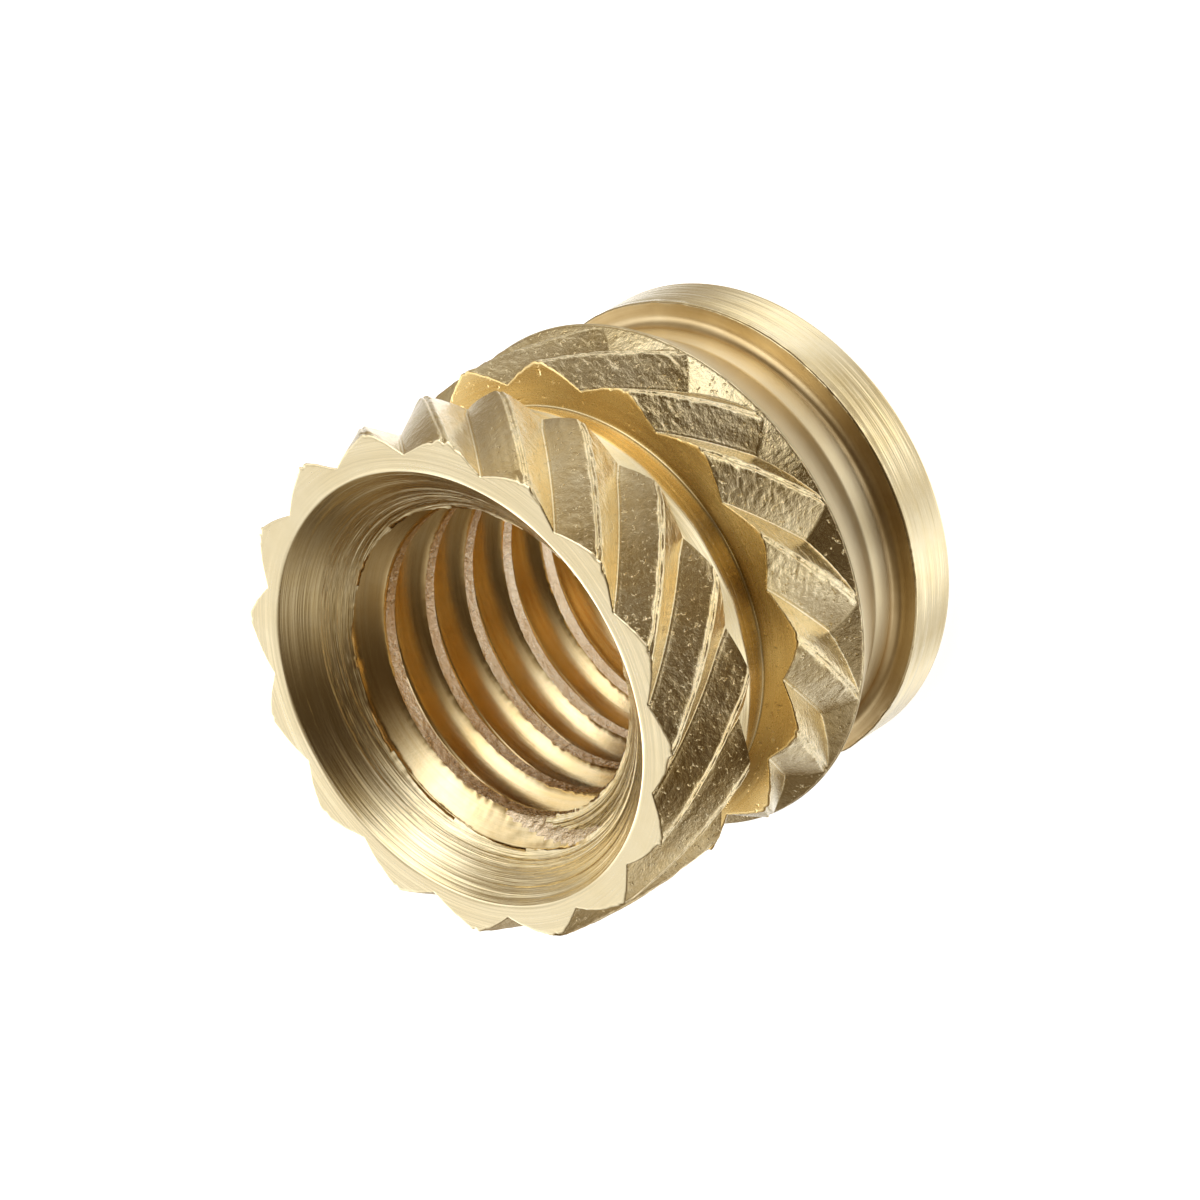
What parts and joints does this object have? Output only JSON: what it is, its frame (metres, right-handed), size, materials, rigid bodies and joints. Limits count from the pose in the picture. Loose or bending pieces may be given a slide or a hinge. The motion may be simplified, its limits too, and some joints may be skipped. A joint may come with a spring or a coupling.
{
  "type": "threaded insert",
  "caption": "Brass knurled threaded insert for plastic: two bands of opposed helical teeth over a plain collar, with a countersunk tapped through hole.",
  "frame": {"origin": "centre of the plain collar's end face, on the axis of the bore", "axes": "+Z along the bore from the plain collar towards the countersunk mouth; the part stands on its collar"},
  "size_m": [0.007, 0.007, 0.0061],
  "materials": {
    "brass": "as turned and knurled, bare, with fine tool lines and small burrs"
  },
  "bodies": {
    "root": {"insert_body": "brass"}
  },
  "joints": []
}
